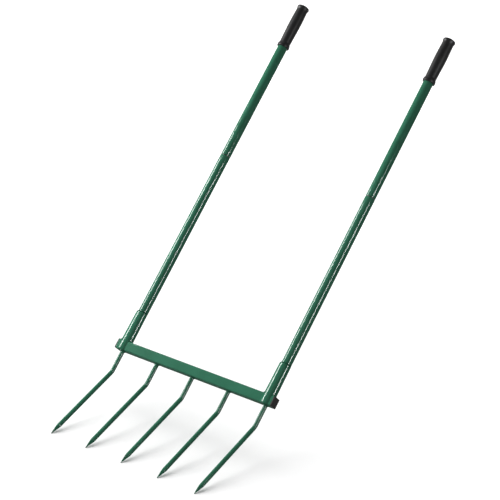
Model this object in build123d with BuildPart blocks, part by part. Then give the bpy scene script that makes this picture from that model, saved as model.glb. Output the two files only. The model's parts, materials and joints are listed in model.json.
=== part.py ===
"""Five-tine lawn aerator fork with two long handles, standing on its tine tips.

Millimetres, +Z up. The origin is on the ground under the tip of the middle tine. X runs along
the crossbar, and the handles lean back towards +Y. Every piece is drawn in the fork's own frame:
its origin is the centre of the crossbar, with x along the crossbar, y towards the fork's back
and z up the handles.
"""

from build123d import *
from math import atan2, cos, radians, sin, sqrt
import os

# ---- stance -------------------------------------------------------------------------------
lean = radians(45)  # the handles from the vertical, towards +Y

# ---- crossbar, a square tube with a plug in each end --------------------------------------
bar_length = 540.0
bar_side = 28.0
bar_wall = 2.0
bar_corner_r = 3.0
bar_inner_corner_r = 1.5
plug_flange = 3.0  # stands out beyond the tube
plug_flange_edge_r = 1.0
plug_depth = 14.0  # goes into the tube
plug_wall = 2.0
plug_slack = 0.2  # body to tube, each side
rib_slack = 0.02  # ribs to tube, each side
rib_count = 3
rib_pitch = 4.0
rib_width = 1.2

# ---- tines: round rod, bent forward, with a four-sided point ------------------------------
tine_count = 5
tine_pitch = 125.0
tine_r = 6.0
tine_drop = 77.5  # crossbar centre down to the corner of the bend
tine_reach = 107.0  # the tip forward of the crossbar centre
tine_depth = 310.0  # the tip below the crossbar centre
tine_bend_r = 26.0
point_length = 32.0
point_side = 12.4  # at the top of the point, a little more than the rod's width
point_corner_r = 1.0
tip_side = 1.6
tip_corner_r = 0.4
tine_hole_gap = 0.1
tine_weld_r = 8.6
tine_weld_height = 2.4

# ---- handles: each a lower and an upper pole on one axis ----------------------------------
handle_xs = (-250.0, 250.0)
sides = ("left", "right")
pole_r = 14.0
pole_wall = 2.0
pole_edge_r = 0.8
pole_top = 1100.0
joint_height = 608.0
foot_weld_leg = 4.0
foot_weld_height = 3.4
foot_weld_gap = 14.0  # left bare at the back, where pole and crossbar are flush
rim_weld_leg = 3.0  # on the saddle's top edge
rim_weld_height = 3.8
rim_weld_taper = 37.0  # degrees from the pole

# ---- saddles: half-round shells over the front of the poles and of the crossbar -----------
saddle_top = 103.0
saddle_top_r = 17.5
saddle_foot_r = 18.8
saddle_bore_top_r = 14.1
saddle_bore_foot_r = 15.0
saddle_edge_r = 0.8

# ---- couplers: the tubes inside that join the poles ---------------------------------------
coupler_reach = 60.0  # into each pole
coupler_r = 11.9
coupler_wall = 2.0
collar_r = 13.1
collar_length = 2.4

# ---- joint screws: button heads on the back of the lower poles -----------------------------
screw_drop = 32.0  # below the joint
screw_r = 3.0
screw_hole_r = 3.2
screw_head_r = 5.25
screw_head_height = 3.3
screw_head_edge_r = 2.0
screw_socket_r = 2.3  # across the corners of the hexagon
screw_socket_depth = 2.0

# ---- grips --------------------------------------------------------------------------------
grip_foot = 968.0
grip_top = 1106.0
grip_bore_r = 14.05
grip_foot_r = 17.6
grip_flange_r = 18.1
grip_waist_r = 15.8
grip_belly_r = 17.2
grip_neck_r = 16.2
grip_bead_r = 17.8
grip_dome_r = 16.4

# ---- the fork's own frame -----------------------------------------------------------------
tine_slope = atan2(tine_reach, tine_depth - tine_drop)  # lower tine from the handles' line
tip_half = tip_side / sqrt(2) - tip_corner_r * (sqrt(2) - 1)  # centre to corner of the tip
bar_y = tine_reach * cos(lean) + tine_depth * sin(lean)
bar_z = tine_depth * cos(lean) - tine_reach * sin(lean) + tip_half * sin(lean + tine_slope)
fork = Plane(origin=(0, bar_y, bar_z), x_dir=(1, 0, 0), z_dir=(0, sin(lean), cos(lean)))
tine_xs = [(i - (tine_count - 1) / 2) * tine_pitch for i in range(tine_count)]


def spot(x, y, z):
    """A point given in the fork's own frame."""
    return fork.from_local_coords((x, y, z))


def across(x, height):
    """A plane square to the handles, its x along the crossbar and its y to the back."""
    return Plane(origin=spot(x, 0, height), x_dir=fork.x_dir, z_dir=fork.z_dir)


def lengthwise(x, facing=1):
    """A plane square to the crossbar, its normal along +x, or along -x where facing is -1."""
    return Plane(origin=spot(x, 0, 0), x_dir=fork.y_dir * facing, z_dir=fork.x_dir * facing)


def rearward(x, y, height):
    """A plane that faces the back of the fork."""
    return Plane(origin=spot(x, y, height), x_dir=fork.x_dir, z_dir=fork.y_dir)


def on_tine(x, to_tip):
    """A plane square to the lower tine, at a distance from its tip, facing the tip."""
    forward = tine_reach - to_tip * sin(tine_slope)
    down = tine_depth - to_tip * cos(tine_slope)
    along = fork.y_dir * -sin(tine_slope) + fork.z_dir * -cos(tine_slope)
    return Plane(origin=spot(x, -forward, -down), x_dir=fork.x_dir, z_dir=along)


def save(part, name):
    part.label = name
    export_step(part, f"parts/{name}.step")
    print(f"{name}: {len(part.solids())} solid(s), {part.volume:.0f} mm3")


os.makedirs("parts", exist_ok=True)

# ---- crossbar -----------------------------------------------------------------------------
with BuildPart() as crossbar:
    with BuildSketch(lengthwise(-bar_length / 2)):
        RectangleRounded(bar_side, bar_side, bar_corner_r)
        bar_bore = bar_side - 2 * bar_wall
        RectangleRounded(bar_bore, bar_bore, bar_inner_corner_r, mode=Mode.SUBTRACT)
    extrude(amount=bar_length)
    with BuildSketch(across(0, -bar_side / 2)):
        with GridLocations(tine_pitch, 0, tine_count, 1):
            Circle(tine_r + tine_hole_gap)
    extrude(amount=bar_wall, mode=Mode.SUBTRACT)
save(crossbar.part, "crossbar")

# ---- end plugs ----------------------------------------------------------------------------
for facing, side in zip((-1, 1), sides):
    with BuildPart() as end_plug:
        tube_end = lengthwise(facing * bar_length / 2, facing)
        with BuildSketch(tube_end):
            RectangleRounded(bar_side, bar_side, bar_corner_r)
        extrude(amount=plug_flange)
        outer_face = end_plug.faces().sort_by(Axis(tube_end.origin, tube_end.z_dir))[-1]
        fillet(outer_face.edges(), plug_flange_edge_r)
        body_side = bar_bore - 2 * plug_slack
        body_bore = body_side - 2 * plug_wall
        with BuildSketch(tube_end):
            RectangleRounded(body_side, body_side, bar_inner_corner_r)
            RectangleRounded(body_bore, body_bore, bar_inner_corner_r, mode=Mode.SUBTRACT)
        extrude(amount=-plug_depth)
        rib_side = bar_bore - 2 * rib_slack
        for rib in range(rib_count):
            with BuildSketch(tube_end.offset(-(rib + 1) * rib_pitch)):
                RectangleRounded(rib_side, rib_side, bar_inner_corner_r)
                RectangleRounded(body_bore, body_bore, bar_inner_corner_r, mode=Mode.SUBTRACT)
            extrude(amount=rib_width)
    save(end_plug.part, f"end_plug_{side}")

# ---- tines --------------------------------------------------------------------------------
for number, x in enumerate(tine_xs, start=1):
    point_top = on_tine(x, point_length)
    with BuildPart() as point:
        with BuildSketch(point_top):
            RectangleRounded(point_side, point_side, point_corner_r, rotation=45)
        with BuildSketch(on_tine(x, 0)):
            RectangleRounded(tip_side, tip_side, tip_corner_r, rotation=45)
        loft()
        with BuildSketch(point_top):
            Circle(tine_r)
        extrude(amount=point_length, mode=Mode.INTERSECT)
    with BuildPart() as tine:
        tine_head = bar_side / 2 - bar_wall
        rod_end = fork.to_local_coords(point_top.origin)
        with BuildLine(lengthwise(x)) as rod_line:
            FilletPolyline(
                (0, tine_head), (0, -tine_drop), (rod_end.Y, rod_end.Z), radius=tine_bend_r
            )
        with BuildSketch(across(x, tine_head)):
            Circle(tine_r)
        sweep(path=rod_line.wire())
        add(point.part)
    save(tine.part, f"tine_{number}")

# ---- weld rings where the tines leave the crossbar ----------------------------------------
with BuildPart() as tine_welds:
    underside = Plane(origin=spot(0, 0, -bar_side / 2), x_dir=fork.x_dir, z_dir=-fork.z_dir)
    with BuildSketch(underside):
        with GridLocations(tine_pitch, 0, tine_count, 1):
            Circle(tine_weld_r)
    extrude(amount=tine_weld_height, taper=45)
    with BuildSketch(underside):
        with GridLocations(tine_pitch, 0, tine_count, 1):
            Circle(tine_r)
    extrude(amount=tine_weld_height, mode=Mode.SUBTRACT)
save(tine_welds.part, "tine_welds")

# ---- saddles ------------------------------------------------------------------------------
for x, side in zip(handle_xs, sides):
    with BuildPart() as saddle:
        with BuildSketch(across(x, -bar_side / 2)):
            Circle(saddle_foot_r)
        with BuildSketch(across(x, saddle_top)):
            Circle(saddle_top_r)
        loft()
        with BuildSketch(across(x, bar_side / 2)):
            Circle(saddle_bore_foot_r)
        with BuildSketch(across(x, saddle_top)):
            Circle(saddle_bore_top_r)
        loft(mode=Mode.SUBTRACT)
        with BuildSketch(lengthwise(x - saddle_foot_r)):
            with Locations((saddle_foot_r, 0)):
                Rectangle(2 * saddle_foot_r, 4 * saddle_top)
            with Locations((0, 0)):
                Rectangle(bar_side, bar_side)
        extrude(amount=2 * saddle_foot_r, mode=Mode.SUBTRACT)
        top_edges = saddle.edges().group_by(Axis(fork.origin, fork.z_dir))[-1]
        fillet(top_edges.filter_by(GeomType.CIRCLE).sort_by(SortBy.RADIUS)[-1], saddle_edge_r)
    save(saddle.part, f"saddle_{side}")

# ---- poles --------------------------------------------------------------------------------
screw_height = joint_height - collar_length / 2 - screw_drop
for x, side in zip(handle_xs, sides):
    with BuildPart() as pole_lower:
        lower_end = joint_height - collar_length / 2
        with BuildSketch(across(x, bar_side / 2)):
            Circle(pole_r)
            Circle(pole_r - pole_wall, mode=Mode.SUBTRACT)
        extrude(amount=lower_end - bar_side / 2)
        rim = pole_lower.faces().sort_by(Axis(fork.origin, fork.z_dir))[-1]
        fillet(rim.edges().sort_by(SortBy.RADIUS)[-1], pole_edge_r)
        with BuildSketch(rearward(x, 0, screw_height)):
            Circle(screw_hole_r)
        extrude(amount=pole_r + 1, mode=Mode.SUBTRACT)
    save(pole_lower.part, f"pole_lower_{side}")

    with BuildPart() as pole_upper:
        upper_end = joint_height + collar_length / 2
        with BuildSketch(across(x, upper_end)):
            Circle(pole_r)
            Circle(pole_r - pole_wall, mode=Mode.SUBTRACT)
        extrude(amount=pole_top - upper_end)
        rim = pole_upper.faces().sort_by(Axis(fork.origin, fork.z_dir))[0]
        fillet(rim.edges().sort_by(SortBy.RADIUS)[-1], pole_edge_r)
    save(pole_upper.part, f"pole_upper_{side}")

    with BuildPart() as coupler:
        with BuildSketch(across(x, joint_height - coupler_reach)):
            Circle(coupler_r)
        extrude(amount=2 * coupler_reach)
        with BuildSketch(across(x, joint_height - collar_length / 2)):
            Circle(collar_r)
        extrude(amount=collar_length)
        with BuildSketch(across(x, joint_height - coupler_reach)):
            Circle(coupler_r - coupler_wall)
        extrude(amount=2 * coupler_reach, mode=Mode.SUBTRACT)
        with BuildSketch(rearward(x, 0, screw_height)):
            Circle(screw_r)
        extrude(amount=pole_r, mode=Mode.SUBTRACT)
    save(coupler.part, f"coupler_{side}")

# ---- handle welds: round the back of the poles' feet, and over the saddles' top edges -----
with BuildPart() as handle_welds:
    for x in handle_xs:
        with BuildSketch(across(x, bar_side / 2)):
            Circle(pole_r + foot_weld_leg)
        extrude(amount=foot_weld_height, taper=45)
        with BuildSketch(across(x, bar_side / 2)):
            Circle(pole_r)
        extrude(amount=foot_weld_height, mode=Mode.SUBTRACT)
        outside = pole_r + 2 * foot_weld_leg
        with BuildSketch(across(x, bar_side / 2)):
            with Locations((0, -outside)):
                Rectangle(2 * outside, 2 * outside)
            with Locations((0, bar_side / 2 + outside)):
                Rectangle(2 * outside, 2 * outside)
            with Locations((0, outside)):
                Rectangle(foot_weld_gap, 2 * outside)
        extrude(amount=foot_weld_height, mode=Mode.SUBTRACT)
    for x in handle_xs:
        with BuildSketch(across(x, saddle_top)):
            Circle(pole_r + rim_weld_leg)
        extrude(amount=rim_weld_height, taper=rim_weld_taper)
        with BuildSketch(across(x, saddle_top)):
            Circle(pole_r)
            with Locations((0, outside)):
                Rectangle(2 * outside, 2 * outside)
        extrude(amount=rim_weld_height, mode=Mode.SUBTRACT)
save(handle_welds.part, "handle_welds")

# ---- joint screws -------------------------------------------------------------------------
with BuildPart() as joint_screws:
    for x in handle_xs:
        seat = rearward(x, pole_r, screw_height)
        with BuildSketch(seat):
            Circle(screw_head_r)
        extrude(amount=screw_head_height)
    heads = joint_screws.faces().group_by(Axis(fork.origin, fork.y_dir))[-1]
    fillet(heads.edges(), screw_head_edge_r)
    for x in handle_xs:
        seat = rearward(x, pole_r, screw_height)
        with BuildSketch(seat):
            Circle(screw_r)
        extrude(amount=-(pole_r - coupler_r + coupler_wall))
        with BuildSketch(seat.offset(screw_head_height - screw_socket_depth)):
            RegularPolygon(screw_socket_r, 6)
        extrude(amount=screw_socket_depth, mode=Mode.SUBTRACT)
save(joint_screws.part, "joint_screws")

# ---- grips --------------------------------------------------------------------------------
for x, side in zip(handle_xs, sides):
    with BuildPart() as grip:
        with BuildSketch(lengthwise(x)):
            with BuildLine():
                Polyline(
                    (0, grip_top), (0, pole_top), (grip_bore_r, pole_top), (grip_bore_r, grip_foot)
                )
                Line((grip_bore_r, grip_foot), (grip_foot_r, grip_foot))
                Spline(
                    (grip_foot_r, grip_foot),
                    (grip_flange_r, grip_foot + 2),
                    (grip_flange_r, grip_foot + 7),
                    (grip_waist_r, grip_foot + 14),
                    tangents=((1, 1.5), (-0.05, 1)),
                )
                Spline(
                    (grip_waist_r, grip_foot + 14),
                    (grip_belly_r, grip_foot + 76),
                    (grip_neck_r, grip_top - 13.5),
                    tangents=((0.02, 1), (0.02, 1)),
                )
                Spline(
                    (grip_neck_r, grip_top - 13.5),
                    (grip_bead_r, grip_top - 6.5),
                    (grip_dome_r, grip_top - 2.6),
                    (0, grip_top),
                    tangents=((0.02, 1), (-1, 0)),
                )
            make_face()
        revolve(axis=Axis(spot(x, 0, 0), fork.z_dir))
    save(grip.part, f"grip_{side}")
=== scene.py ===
"""Looks for the lawn aerator fork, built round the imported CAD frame. Metres, +Z up."""

import json
from math import atan2, cos, pi, radians, sin, sqrt, tan

import bmesh
import bpy
from mathutils import Matrix, Vector, noise


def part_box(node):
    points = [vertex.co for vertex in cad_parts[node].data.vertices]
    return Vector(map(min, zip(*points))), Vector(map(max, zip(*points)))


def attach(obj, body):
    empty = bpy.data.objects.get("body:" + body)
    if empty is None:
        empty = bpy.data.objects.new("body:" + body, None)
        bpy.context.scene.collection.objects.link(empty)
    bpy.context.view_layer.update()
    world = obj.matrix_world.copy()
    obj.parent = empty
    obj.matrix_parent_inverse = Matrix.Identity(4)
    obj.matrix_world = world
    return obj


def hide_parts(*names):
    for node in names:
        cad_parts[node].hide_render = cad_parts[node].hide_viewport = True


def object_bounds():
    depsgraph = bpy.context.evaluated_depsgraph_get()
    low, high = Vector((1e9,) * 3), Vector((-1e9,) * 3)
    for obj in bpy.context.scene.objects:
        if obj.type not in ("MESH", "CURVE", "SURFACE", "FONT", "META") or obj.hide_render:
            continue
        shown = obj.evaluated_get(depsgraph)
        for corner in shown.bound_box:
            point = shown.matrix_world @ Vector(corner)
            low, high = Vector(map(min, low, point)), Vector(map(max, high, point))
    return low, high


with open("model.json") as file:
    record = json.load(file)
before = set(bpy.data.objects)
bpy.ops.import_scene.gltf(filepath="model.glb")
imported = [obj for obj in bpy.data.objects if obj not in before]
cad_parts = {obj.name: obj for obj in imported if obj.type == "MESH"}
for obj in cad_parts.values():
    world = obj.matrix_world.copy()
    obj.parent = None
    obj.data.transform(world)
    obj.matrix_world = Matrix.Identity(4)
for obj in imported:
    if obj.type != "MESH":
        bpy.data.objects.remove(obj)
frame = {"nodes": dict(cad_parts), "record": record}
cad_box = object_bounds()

# ---- the fork's own frame: origin at the crossbar's centre, y to the back, z up the handles ----
MOUNTS = {m["name"]: m for m in frame["record"]["mounts"]}


def middle(node):
    low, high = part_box(node)
    return (low + high) / 2


UP = Vector(MOUNTS["grip_left"]["axis"]).normalized()
BACK = Vector(MOUNTS["crossbar_back"]["axis"]).normalized()
RIGHT = BACK.cross(UP)
BAR_CENTRE = middle("crossbar")
FORK = Matrix.Translation(BAR_CENTRE) @ Matrix((RIGHT, BACK, UP)).transposed().to_4x4()

SIDES = ("left", "right")
HANDLE_X = {side: middle(f"pole_lower_{side}").x for side in SIDES}
TINES = [f"tine_{n}" for n in range(1, 6)]
BAR_HALF_LENGTH = (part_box("crossbar")[1].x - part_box("crossbar")[0].x) / 2

# ---- dimensions, the same as the CAD's ---------------------------------------------------------
BAR_HALF = 0.014
BAR_CORNER_R = 0.003
BAR_WALL = 0.002
PLUG_FLANGE = 0.003
TINE_R = 0.0060
TINE_DROP = 0.0775
TINE_REACH = 0.107
TINE_DEPTH = 0.310
TINE_BEND_R = 0.026
POINT_LENGTH = 0.032
POINT_SIDE = 0.0124
POINT_CORNER_R = 0.0010
TIP_SIDE = 0.0016
TIP_CORNER_R = 0.0004
CUT_SOFTNESS = 0.0003
TINE_WELD_LEG = (0.0025, 0.0023)
RIM_WELD_LEG = (0.0027, 0.0036)
FOOT_WELD_LEG = (0.0036, 0.0034)
SADDLE_EDGE_WELD_LEG = (0.0026, 0.0030)
SADDLE_FOOT_WELD_LEG = (0.0019, 0.0026)
DAB_PITCH = 0.0021
POLE_R = 0.014
POLE_WALL = 0.002
POLE_TOP = 1.100
JOINT = 0.608
SEAM_HALF = 0.0012
SADDLE_TOP = 0.103
SADDLE_TOP_R = 0.0175
SADDLE_FOOT_R = 0.0188
SADDLE_BORE_TOP_R = 0.0141
SADDLE_BORE_FOOT_R = 0.0150
GRIP_FOOT = 0.968
GRIP_TOP = 1.106
GRIP_BORE_R = 0.01405


# ---- materials ---------------------------------------------------------------------------------
def new_material(name):
    mat = bpy.data.materials.new(name)
    mat.use_nodes = True
    tree = mat.node_tree
    tree.nodes.clear()
    out = tree.nodes.new("ShaderNodeOutputMaterial")
    shader = tree.nodes.new("ShaderNodeBsdfPrincipled")
    tree.links.new(shader.outputs["BSDF"], out.inputs["Surface"])
    coords = tree.nodes.new("ShaderNodeTexCoord")
    return mat, tree, shader, coords.outputs["Object"]


def noise_node(tree, coords, scale, detail):
    node = tree.nodes.new("ShaderNodeTexNoise")
    node.inputs["Scale"].default_value = scale
    node.inputs["Detail"].default_value = detail
    tree.links.new(coords, node.inputs["Vector"])
    return node.outputs["Fac"]


def ramp(tree, fac, stops):
    node = tree.nodes.new("ShaderNodeValToRGB")
    while len(node.color_ramp.elements) < len(stops):
        node.color_ramp.elements.new(0.5)
    for element, (at, colour) in zip(node.color_ramp.elements, stops):
        element.position = at
        element.color = (*colour, 1.0)
    tree.links.new(fac, node.inputs["Fac"])
    return node.outputs["Color"]


def colour_by(tree, shader, fac, *stops):
    tree.links.new(ramp(tree, fac, stops), shader.inputs["Base Color"])


def roughness_by(tree, shader, fac, low, high):
    node = tree.nodes.new("ShaderNodeMapRange")
    for socket, value in zip(("From Min", "From Max", "To Min", "To Max"), (0.3, 0.7, low, high)):
        node.inputs[socket].default_value = value
    tree.links.new(fac, node.inputs["Value"])
    tree.links.new(node.outputs["Result"], shader.inputs["Roughness"])


def bump(tree, shader, height, distance, under=None):
    node = tree.nodes.new("ShaderNodeBump")
    node.inputs["Strength"].default_value = 1.0
    node.inputs["Distance"].default_value = distance
    tree.links.new(height, node.inputs["Height"])
    if under is not None:
        tree.links.new(under, node.inputs["Normal"])
    tree.links.new(node.outputs["Normal"], shader.inputs["Normal"])
    return node.outputs["Normal"]


def green_paint(name, depth, rough, coat):
    """Glossy powder coat: deep green, with orange peel and faint unevenness in its film. The copy
    made darker and duller for the weld beads is painted shade: it stands in for the shade in the
    band above the saddles' rims."""
    mat, tree, shader, coords = new_material(name)
    film = noise_node(tree, coords, 22.0, 3.0)
    thin, thick = (0.0115, 0.055, 0.032), (0.0140, 0.065, 0.039)
    thin, thick = ([c * depth for c in film_colour] for film_colour in (thin, thick))
    colour_by(tree, shader, film, (0.3, thin), (0.7, thick))
    roughness_by(tree, shader, noise_node(tree, coords, 70.0, 3.0), rough, rough + 0.1)
    shader.inputs["Specular IOR Level"].default_value = 0.0
    shader.inputs["Coat Weight"].default_value = coat
    shader.inputs["Coat IOR"].default_value = 2.0
    shader.inputs["Coat Roughness"].default_value = 0.12
    ripple = 0.000002
    waves = bump(tree, shader, noise_node(tree, coords, 240.0, 1.0), ripple)
    bump(tree, shader, noise_node(tree, coords, 900.0, 1.0), ripple, under=waves)
    return mat


def black_rubber():
    mat, tree, shader, coords = new_material("black_rubber")
    bloom = noise_node(tree, coords, 45.0, 4.0)
    colour_by(
        tree, shader, bloom, (0.3, (0.0038, 0.0038, 0.0040)), (0.75, (0.0066, 0.0066, 0.0069))
    )
    roughness_by(tree, shader, noise_node(tree, coords, 120.0, 3.0), 0.38, 0.50)
    shader.inputs["Specular IOR Level"].default_value = 0.07
    bump(tree, shader, noise_node(tree, coords, 1300.0, 2.0), 0.00004)
    return mat


def black_plastic():
    mat, tree, shader, coords = new_material("black_plastic")
    grain = noise_node(tree, coords, 160.0, 3.0)
    colour_by(
        tree, shader, grain, (0.3, (0.0040, 0.0033, 0.0031)), (0.7, (0.0066, 0.0054, 0.0050))
    )
    roughness_by(tree, shader, noise_node(tree, coords, 300.0, 2.0), 0.42, 0.56)
    shader.inputs["Specular IOR Level"].default_value = 0.06
    bump(tree, shader, noise_node(tree, coords, 1800.0, 2.0), 0.00005)
    return mat


def black_oxide():
    """Blackened steel for the couplers. The dark, green-tinged colour of the collar at each seam is
    painted shade of the gap between the poles.
    """
    mat, tree, shader, coords = new_material("black_oxide")
    seam_shade_tone = noise_node(tree, coords, 260.0, 3.0)
    colour_by(tree, shader, seam_shade_tone, (0.3, (0.003, 0.008, 0.005)), (0.7, (0.004, 0.016, 0.009)))
    roughness_by(tree, shader, noise_node(tree, coords, 600.0, 2.0), 0.40, 0.58)
    shader.inputs["Specular IOR Level"].default_value = 0.15
    return mat


def zinc_steel():
    mat, tree, shader, coords = new_material("zinc_steel")
    spangle = tree.nodes.new("ShaderNodeTexVoronoi")
    spangle.inputs["Scale"].default_value = 700.0
    tree.links.new(coords, spangle.inputs["Vector"])
    grains = spangle.outputs["Distance"]
    colour_by(tree, shader, grains, (0.1, (0.34, 0.34, 0.33)), (0.8, (0.44, 0.44, 0.43)))
    shader.inputs["Metallic"].default_value = 1.0
    roughness_by(tree, shader, noise_node(tree, coords, 900.0, 3.0), 0.24, 0.42)
    bump(tree, shader, noise_node(tree, coords, 2500.0, 2.0), 0.00001)
    return mat


GREEN = green_paint("green_paint", 1.0, 0.17, 0.06)
# Darker, duller paint for the handles' weld beads: painted shade for the band above the saddles'
# rims.
PAINTED_SHADE_WELD = green_paint("green_paint_weld_painted_shade", 0.4, 0.5, 0.0)
RUBBER, PLASTIC, ZINC, SEAM_SHADE_OXIDE = black_rubber(), black_plastic(), zinc_steel(), black_oxide()


# ---- mesh tools --------------------------------------------------------------------------------
def piece(name, parts, mat, replaced, crease=38.0):
    """One object from (vertices, faces) lists in the fork's frame, riding on the root body."""
    mesh = bpy.data.meshes.new(name)
    bm = bmesh.new()
    for points, faces in parts:
        verts = [bm.verts.new(FORK @ Vector(p)) for p in points]
        for face in faces:
            bm.faces.new([verts[i] for i in face])
    bmesh.ops.recalc_face_normals(bm, faces=bm.faces[:])
    bm.to_mesh(mesh)
    bm.free()
    mesh.shade_smooth()
    mesh.set_sharp_from_angle(angle=radians(crease))
    obj = bpy.data.objects.new(name, mesh)
    bpy.context.scene.collection.objects.link(obj)
    mesh.materials.append(mat)
    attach(obj, "root")
    if replaced:
        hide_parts(*replaced)
    return obj


def rings(loops, wrap=False):
    """A skin over loops of equally many points; wrap joins the last loop to the first."""
    size = len(loops[0])
    points = [p for loop in loops for p in loop]
    faces = []
    spans = len(loops) if wrap else len(loops) - 1
    for i in range(spans):
        a, b = i * size, (i + 1) % len(loops) * size
        for j in range(size):
            k = (j + 1) % size
            faces.append((a + j, a + k, b + k, b + j))
    if not wrap:
        faces.append(tuple(range(size)))
        faces.append(tuple(range((len(loops) - 1) * size, len(loops) * size)))
    return points, faces


def turned(profile, x, segments=96, close=True):
    """A (radius, height) profile turned about a handle's axis. A closed profile makes a ring;
    an open one starts on the axis and gets a pole point there."""
    if close:
        loops = [
            [(x + r * cos(a), r * sin(a), z) for r, z in profile]
            for a in (2 * pi * i / segments for i in range(segments))
        ]
        return rings(loops, wrap=True)
    apex, rest = profile[0], profile[1:]
    points = [(x, 0, apex[1])]
    faces = []
    for r, z in rest:
        points += [
            (x + r * cos(2 * pi * i / segments), r * sin(2 * pi * i / segments), z)
            for i in range(segments)
        ]
    for i in range(segments):
        k = (i + 1) % segments
        faces.append((0, 1 + i, 1 + k))
        for j in range(len(rest) - 1):
            a = 1 + j * segments
            b = a + segments
            faces.append((a + i, a + k, b + k, b + i))
    points.append((x, 0, rest[-1][1]))
    last = len(points) - 1
    a = 1 + (len(rest) - 1) * segments
    faces += [(last, a + (i + 1) % segments, a + i) for i in range(segments)]
    return points, faces


def arc(cx, cz, r, start, end, count):
    """Points of an arc in a profile, angles in degrees."""
    return [
        (cx + r * cos(radians(t)), cz + r * sin(radians(t)))
        for t in (start + (end - start) * i / count for i in range(count + 1))
    ]


def rounded_square(half, r, per_corner=8):
    """A rounded square's outline, counter-clockwise. A point just inside each end of a flat keeps
    the flat's shading level."""
    flat, margin = half - r, 0.0004
    loop = []
    for sx, sy, start in ((1, 1, 0), (-1, 1, 90), (-1, -1, 180), (1, -1, 270)):
        turn = arc(sx * flat, sy * flat, r, start, start + 90, per_corner)
        for t, way in ((start, -1), (start + 90, 1)):
            y, z = turn[0] if way < 0 else turn[-1]
            level = (y - way * sin(radians(t)) * margin, z + way * cos(radians(t)) * margin)
            turn = [level] + turn if way < 0 else turn + [level]
        loop += turn
    return loop


def hump(run, seed):
    """The height of a weld bead along its run: one crescent ripple for each dab of the torch."""
    phase = (run / DAB_PITCH) % 1.0
    ripple = 0.11 * (1 - (2 * phase - 1) ** 2) - 0.05
    return 1 + ripple + 0.07 * noise.noise(Vector((run * 130, seed, 0)))


def bead(line, legs, seed, wrap=False):
    """A weld in the corner between two faces, sunk a little into both. Each point of line is
    (corner, first, second, scale): the corner, the directions out along both faces, and the
    bead's size there."""
    steps, sink, fullness, undercut = 9, 0.0006, 1.28, 0.92
    loops, run, last = [], 0.0, None
    for corner, first, second, scale in line:
        corner, first, second = Vector(corner), Vector(first), Vector(second)
        if last is not None:
            run += (corner - last).length
        last = corner
        size = hump(run, seed) * scale
        loop = []
        for i in range(steps + 1):
            t = i / steps * pi / 2
            a, b = cos(t) ** fullness, sin(t) ** fullness
            loop.append(corner + first * legs[0] * size * a + second * legs[1] * size * b)
        loop.append(corner - first * sink + second * legs[1] * size * undercut)
        loop.append(corner - first * sink - second * sink)
        loop.append(corner + first * legs[0] * size * undercut - second * sink)
        loops.append(loop)
    return rings(loops, wrap=wrap)


def ring_line(x, z, r, up, start=0.0, end=360.0, count=240, scale=lambda a: 1.0):
    """The line of a bead round a pole or a rod."""
    full = end - start >= 360
    line = []
    for i in range(count if full else count + 1):
        a = radians(start + (end - start) * i / count)
        out = (cos(a), sin(a), 0)
        line.append(((x + r * cos(a), r * sin(a), z), out, (0, 0, up), scale(a)))
    return line


# ---- crossbar and its plugs --------------------------------------------------------------------
def bar():
    outer = rounded_square(BAR_HALF, BAR_CORNER_R, 10)
    lip = rounded_square(BAR_HALF - 0.0002, BAR_CORNER_R - 0.0002, 10)
    inner = rounded_square(BAR_HALF - BAR_WALL, BAR_CORNER_R / 2, 10)
    inset = BAR_HALF_LENGTH - 0.0003
    cuts = 60
    xs = [-inset] + [(inset - 0.0004) * (2 * i / cuts - 1) for i in range(cuts + 1)] + [inset]
    loops = [[(-BAR_HALF_LENGTH, y, z) for y, z in lip]]
    loops += [[(x, y, z) for y, z in outer] for x in xs]
    loops += [[(BAR_HALF_LENGTH, y, z) for y, z in lip]]
    loops += [[(x, y, z) for y, z in inner] for x in (BAR_HALF_LENGTH, -BAR_HALF_LENGTH)]
    piece("crossbar_tube", [rings(loops, wrap=True)], GREEN, ["crossbar"])


def plug(side, facing):
    """The plug's flange, with a rounded rim and a shallow crown, and its body in the tube."""
    edge, crown, crown_span, play = 0.0009, 0.0001, 0.012, 0.0002
    rim_start = PLUG_FLANGE - crown - edge

    def outline(out, half, r):
        x = facing * BAR_HALF_LENGTH + facing * out
        return [(x, y, z) for y, z in rounded_square(half, r)]

    steps = [(0.0, 0.0), (0.0, rim_start + 0.0002)]
    for i in range(1, 7):
        t = i / 6 * pi / 2
        steps.append((edge * (1 - cos(t)), rim_start + edge * sin(t)))
    loops = [
        outline(out, BAR_HALF - 0.0001 - shrink, BAR_CORNER_R - shrink) for shrink, out in steps
    ]
    for shrink in (0.003, 0.006, 0.009, crown_span):
        out = PLUG_FLANGE - crown + crown * (shrink / crown_span) ** 0.5
        loops.append(outline(out, BAR_HALF - shrink, max(BAR_CORNER_R - shrink / 3, 0.0006)))
    inside = [outline(-depth, BAR_HALF - BAR_WALL - play, 0.0013) for depth in (0.014, play)]
    piece(f"plug_{side}", [rings(inside + loops)], PLASTIC, [f"end_plug_{side}"])


# ---- tines -------------------------------------------------------------------------------------
def tine_path():
    """The rod's centre line as (y, z, angle from straight down towards the front), head first,
    down to the start of its point."""
    slope = atan2(TINE_REACH, TINE_DEPTH - TINE_DROP)
    back_off = TINE_BEND_R * tan(slope / 2)
    line = [(0, z, 0.0) for z in (BAR_HALF - BAR_WALL, -BAR_HALF, -0.03, -TINE_DROP + back_off)]
    for i in range(1, 15):
        a = slope * i / 14
        y = -TINE_BEND_R * (1 - cos(a))
        line.append((y, -TINE_DROP + back_off - TINE_BEND_R * sin(a), a))
    return slope, line


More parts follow.
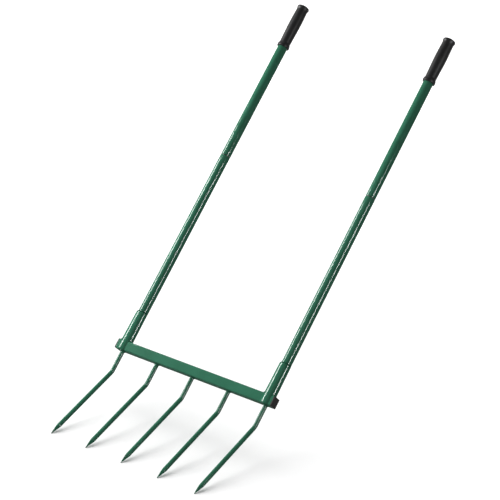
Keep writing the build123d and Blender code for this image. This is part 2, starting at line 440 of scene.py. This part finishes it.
def section(to_tip):
    """The rod's outline at a distance from its tip: the rod's circle, cut by the four faces of
    the point, which turn a corner to the front; the cut's edge is softened by the paint."""
    t = to_tip / POINT_LENGTH
    half = (TIP_SIDE + (POINT_SIDE - TIP_SIDE) * t) / 2
    r = TIP_CORNER_R + (POINT_CORNER_R - TIP_CORNER_R) * t
    count = 96
    outline = []
    for i in range(count):
        a = 2 * pi * i / count
        b = (a + pi / 4) % (pi / 2)
        b = min(b, pi / 2 - b)
        if half * tan(b) <= half - r:
            face = half / cos(b)
        else:
            d = pi / 4 - b
            face = (half - r) * sqrt(2) * cos(d) + sqrt(r * r - ((half - r) * sqrt(2) * sin(d)) ** 2)
        h = min(max(0.5 + (face - TINE_R) / (2 * CUT_SOFTNESS), 0.0), 1.0)
        out = face + (TINE_R - face) * h - CUT_SOFTNESS * h * (1 - h)
        outline.append((out * cos(a), out * sin(a)))
    return outline


def tine(node):
    x = middle(node).x
    slope, line = tine_path()
    rod = section(2 * POINT_LENGTH)
    loops = []
    for y, z, a in line:
        loops.append([(x + u, y + v * cos(a), z - v * sin(a)) for u, v in rod])
    down = Vector((0, -sin(slope), -cos(slope)))
    side = Vector((0, cos(slope), -sin(slope)))
    tip = Vector((x, -TINE_REACH, -TINE_DEPTH))
    top = (Vector((x, line[-1][0], line[-1][1])) - tip).length
    # sections crowd together where the point's faces run out into the rod
    crowd_from, crowd_to, crowd_step = 0.036, 0.018, 0.0005
    stops = [top + (crowd_from - top) * i / 8 for i in range(1, 9)]
    stops += [crowd_from - crowd_step * i for i in range(1, 36)]
    stops += [crowd_to * (1 - i / 14) for i in range(15)]
    for to_tip in stops:
        at = tip - down * to_tip
        loops.append([tuple(at + Vector((u, 0, 0)) + side * v) for u, v in section(to_tip)])
    piece(f"rod_{node}", [rings(loops)], GREEN, [node], crease=45)


def tine_weld_rings():
    parts = []
    for seed, node in enumerate(TINES):
        line = ring_line(middle(node).x, -BAR_HALF, TINE_R, -1)
        parts.append(bead(line, TINE_WELD_LEG, seed, wrap=True))
    piece("tine_weld_beads", parts, GREEN, ["tine_welds"], crease=60)


# ---- saddles -----------------------------------------------------------------------------------
def saddle_r(z):
    """The saddle's outer radius at a height, wider towards its foot."""
    t = (z + BAR_HALF) / (SADDLE_TOP + BAR_HALF)
    return SADDLE_FOOT_R + (SADDLE_TOP_R - SADDLE_FOOT_R) * t


def bore_r(z):
    t = (z - BAR_HALF) / (SADDLE_TOP - BAR_HALF)
    return SADDLE_BORE_FOOT_R + (SADDLE_BORE_TOP_R - SADDLE_BORE_FOOT_R) * t


def saddle(side):
    x = HANDLE_X[side]
    parts = []
    # the half-round shell above the crossbar
    count, edge = 64, 0.0008
    shell = []
    for i in range(count + 1):
        a = radians(180 + 180 * i / count)
        wall = [(bore_r(BAR_HALF), BAR_HALF), (saddle_r(BAR_HALF), BAR_HALF)]
        wall += [(saddle_r(z), z) for z in (0.03, 0.05, 0.075)]
        r = saddle_r(SADDLE_TOP)
        wall += arc(r - edge, SADDLE_TOP - edge, edge, 0, 90, 6)
        wall += [(bore_r(SADDLE_TOP), SADDLE_TOP)]
        shell.append([(x + q * cos(a), q * sin(a), z) for q, z in wall])
    parts.append(rings(shell))
    # the strip that runs down the crossbar's front to its lower edge
    strip = []
    for z in (BAR_HALF + 0.0005, 0.008, 0.0, -0.008, -BAR_HALF + 0.0006, -BAR_HALF):
        r = saddle_r(z) - (0.0004 if z == -BAR_HALF else 0)
        half = sqrt(r * r - BAR_HALF * BAR_HALF)
        reach = atan2(half, BAR_HALF)
        front = [
            (x + r * sin(reach * (2 * j / 32 - 1)), -r * cos(reach * (2 * j / 32 - 1)), z)
            for j in range(33)
        ]
        strip.append(front + [(x + half, -BAR_HALF + 0.0004, z), (x - half, -BAR_HALF + 0.0004, z)])
    parts.append(rings(strip))
    piece(f"saddle_shell_{side}", parts, GREEN, [f"saddle_{side}"], crease=40)

    # beads: along both edges of the shell, and where its foot meets the crossbar
    seed = 20 + 10 * SIDES.index(side)
    beads = []
    for hand in (-1, 1):
        line = []
        for i in range(121):
            z = BAR_HALF + 0.001 + (SADDLE_TOP - BAR_HALF - 0.003) * i / 120
            taper = min(1.0, 0.35 + i / 8, 0.35 + (120 - i) / 8)
            line.append(((x + hand * POLE_R, -0.0002, z), (hand, 0, 0), (0, 1, 0), taper))
        beads.append(bead(line, SADDLE_EDGE_WELD_LEG, seed + hand))
    for start, end in ((188, 232), (308, 352)):
        foot = ring_line(x, BAR_HALF, saddle_r(BAR_HALF), 1, start, end, 60)
        beads.append(bead(foot, SADDLE_FOOT_WELD_LEG, seed + start))
    piece(f"saddle_beads_{side}", beads, GREEN, [], crease=60)


def handle_weld_beads():
    """The beads round the back of the poles' feet and over the top edges of the saddles. At the
    very back the pole is flush with the crossbar, and has no bead."""
    def room(a):
        return min(1.0, (BAR_HALF / max(sin(a), 0.2) - POLE_R) / FOOT_WELD_LEG[0])

    def fade(a):
        return min(1.0, 0.4 + 4 * abs(sin(a)))

    parts = []
    for seed, side in enumerate(SIDES):
        for start, end in ((2, 60), (120, 178)):
            foot = ring_line(HANDLE_X[side], BAR_HALF, POLE_R, 1, start, end, 60, scale=room)
            parts.append(bead(foot, FOOT_WELD_LEG, 50 + seed))
        rim = ring_line(HANDLE_X[side], SADDLE_TOP, POLE_R, 1, 182, 358, 170, scale=fade)
        parts.append(bead(rim, RIM_WELD_LEG, 60 + seed))
    # Both the foot beads and the rim beads take the darker weld paint, which is painted shade.
    piece("handle_weld_beads", parts, PAINTED_SHADE_WELD, ["handle_welds"], crease=60)


# ---- poles and grips ---------------------------------------------------------------------------
def pole(side):
    x = HANDLE_X[side]
    edge = 0.0008
    joint_low, joint_high = JOINT - SEAM_HALF, JOINT + SEAM_HALF
    inner = POLE_R - POLE_WALL
    span = [BAR_HALF + (joint_low - BAR_HALF) * i / 24 for i in range(24)]
    outer = [(POLE_R, z) for z in span] + arc(POLE_R - edge, joint_low - edge, edge, 0, 90, 6)
    piece(
        f"pole_tube_lower_{side}",
        [turned(outer + [(inner, joint_low), (inner, BAR_HALF)], x)],
        GREEN, [f"pole_lower_{side}"],
    )
    span = [POLE_TOP - (POLE_TOP - joint_high) * i / 24 for i in range(24)]
    outer = [(POLE_R, z) for z in span]
    outer += arc(POLE_R - edge, joint_high + edge, edge, 0, -90, 6)
    piece(
        f"pole_tube_upper_{side}",
        [turned(outer + [(inner, joint_high), (inner, POLE_TOP)], x)],
        GREEN, [f"pole_upper_{side}"],
    )


def smooth_curve(points, per_span):
    """A Catmull-Rom curve through profile points."""
    out = []
    ends = [points[0]] + points + [points[-1]]
    for i in range(1, len(ends) - 2):
        p0, p1, p2, p3 = (Vector(p) for p in ends[i - 1:i + 3])
        for j in range(per_span):
            t = j / per_span
            out.append(tuple(0.5 * (
                2 * p1 + (p2 - p0) * t + (2 * p0 - 5 * p1 + 4 * p2 - p3) * t ** 2
                + (3 * p1 - p0 - 3 * p2 + p3) * t ** 3
            )))
    out.append(points[-1])
    return out


def grip(side):
    x = HANDLE_X[side]
    profile = [
        (0.0166, GRIP_FOOT), (0.0176, GRIP_FOOT + 0.0006), (0.0181, GRIP_FOOT + 0.0022),
        (0.0181, GRIP_FOOT + 0.0062), (0.0174, GRIP_FOOT + 0.0098), (0.0160, GRIP_FOOT + 0.0134),
        (0.0158, GRIP_FOOT + 0.0170), (0.0163, GRIP_FOOT + 0.038), (0.0170, GRIP_FOOT + 0.062),
        (0.0172, GRIP_FOOT + 0.078), (0.0170, GRIP_FOOT + 0.094), (0.0164, GRIP_FOOT + 0.115),
        (0.0162, GRIP_TOP - 0.0145), (0.0167, GRIP_TOP - 0.0112), (0.0177, GRIP_TOP - 0.0082),
        (0.0177, GRIP_TOP - 0.0050), (0.0165, GRIP_TOP - 0.0026), (0.0140, GRIP_TOP - 0.0015),
        (0.0080, GRIP_TOP - 0.0004),
    ]
    curve = smooth_curve(profile, 6)
    bore = [(GRIP_BORE_R, GRIP_FOOT), (GRIP_BORE_R, POLE_TOP + 0.0005)]
    outline = [(0, GRIP_TOP)] + curve[::-1] + bore
    sleeve = turned(outline, x, 128, close=False)
    piece(f"grip_sleeve_{side}", [sleeve], RUBBER, [f"grip_{side}"], crease=50)


bar()
for side, facing in zip(SIDES, (-1, 1)):
    plug(side, facing)
    saddle(side)
    pole(side)
    grip(side)
for node in TINES:
    tine(node)
tine_weld_rings()
handle_weld_beads()

# The couplers' collars show at the seams; their dark, green-tinged colour is painted shade of the
# gap there.
for node, mat in (("joint_screws", ZINC), ("coupler_left", SEAM_SHADE_OXIDE), ("coupler_right", SEAM_SHADE_OXIDE)):
    for slot in frame["nodes"][node].material_slots:
        slot.material = mat

# ---- camera ------------------------------------------------------------------------------------
low, high = cad_box
LOOK = Vector((-0.581267, 0.711669, -0.394533)).normalized()
AIM_AT = Vector(((low.x + high.x) / 2, 0.5268, 0.4221))
CAMERA_DISTANCE = 5.3285
CAMERA_LENS = 142.97


def aim(obj, place, target, roll_to):
    """obj looks from place to target, its own y along roll_to."""
    z = (place - target).normalized()
    x = roll_to.cross(z).normalized()
    y = z.cross(x)
    obj.matrix_world = Matrix.Translation(place) @ Matrix((x, y, z)).transposed().to_4x4()


def placed(name, data):
    obj = bpy.data.objects.new(name, data)
    bpy.context.scene.collection.objects.link(obj)
    return obj


camera_data = bpy.data.cameras.new("camera")
camera_data.sensor_width = 36.0
camera_data.lens = CAMERA_LENS
camera_data.clip_end = 200.0
camera = placed("camera", camera_data)
aim(camera, AIM_AT - LOOK * CAMERA_DISTANCE, AIM_AT, Vector((0, 0, 1)))
bpy.context.scene.camera = camera
bpy.context.scene.view_settings.view_transform = "Standard"

# ---- floor -------------------------------------------------------------------------------------
floor_mesh = bpy.data.meshes.new("floor")
bm = bmesh.new()
bmesh.ops.create_grid(bm, x_segments=2, y_segments=2, size=30)
bm.to_mesh(floor_mesh)
bm.free()
floor = placed("floor", floor_mesh)
mat, tree, shader, coords = new_material("floor_pale")
cloud = noise_node(tree, coords, 1.5, 2.0)
colour_by(tree, shader, cloud, (0.3, (0.86, 0.86, 0.86)), (0.7, (0.88, 0.88, 0.88)))
shader.inputs["Roughness"].default_value = 0.85
shader.inputs["Specular IOR Level"].default_value = 0.1
floor_mesh.materials.append(mat)

# ---- light -------------------------------------------------------------------------------------
WORLD_LIGHT = 0.47
BOX_TARGET = -0.17  # the box lights face this height on the fork's middle line, below the crossbar
MIRROR_RISE = 0.2249  # how steeply up the handles their mirrored line of sight runs

world = bpy.data.worlds.new("studio")
world.use_nodes = True
background = world.node_tree.nodes["Background"]
background.inputs["Color"].default_value = (1.0, 1.0, 1.0, 1.0)
background.inputs["Strength"].default_value = WORLD_LIGHT
bpy.context.scene.world = world


def from_handles(turn):
    """The direction that a handle mirrors to the camera, turned by degrees to the camera's left
    about the handle's line."""
    to_camera = -LOOK
    across_handle = (to_camera - UP * to_camera.dot(UP)).normalized()
    leftward = across_handle.cross(UP).normalized()
    flat = across_handle * cos(radians(turn)) + leftward * sin(radians(turn))
    return flat * sqrt(1 - MIRROR_RISE * MIRROR_RISE) + UP * MIRROR_RISE


def softbox(name, turn, distance, width, length, radiance):
    """A box light at that turn about the handles, its length along them."""
    light = bpy.data.lights.new(name, "AREA")
    light.shape = "RECTANGLE"
    light.size, light.size_y = width, length
    light.energy = radiance * pi * width * length
    obj = placed(name, light)
    centre = FORK @ Vector((0, 0, BOX_TARGET))
    aim(obj, centre + from_handles(turn).normalized() * distance, centre, UP)
    return obj


fills = softbox("side_fill", 93, 3.4, 0.8, 2.1, 56.0), softbox("front_fill", 15, 3.6, 1.5, 1.5, 9.0)
for box in fills:
    box.visible_glossy = False
highlights = softbox("key", 92, 3.0, 0.95, 1.85, 105.0), softbox("rim", -38, 3.0, 0.36, 1.85, 150.0)
for box in highlights:
    box.visible_diffuse = False

# the boxes light the fork alone; the sun and the wash light the floor
spared = bpy.data.collections.new("not_the_floor")
spared.objects.link(floor)
spared.collection_objects[0].light_linking.link_state = "EXCLUDE"
for box in fills + highlights:
    box.light_linking.receiver_collection = spared

sun_light = bpy.data.lights.new("sun", "SUN")
sun_light.energy = 3.3
sun_light.angle = radians(72)
sun = placed("sun", sun_light)
aim(sun, Vector((-0.749, 0.236, 0.616)) * 5, Vector((0, 0, 0)), UP)
sun.visible_glossy = False

wash_light = bpy.data.lights.new("floor_wash", "AREA")
wash_light.size = 4.0
wash_light.energy = 95.0
wash = placed("floor_wash", wash_light)
wash.location = (-1.9, 3.0, 3.0)
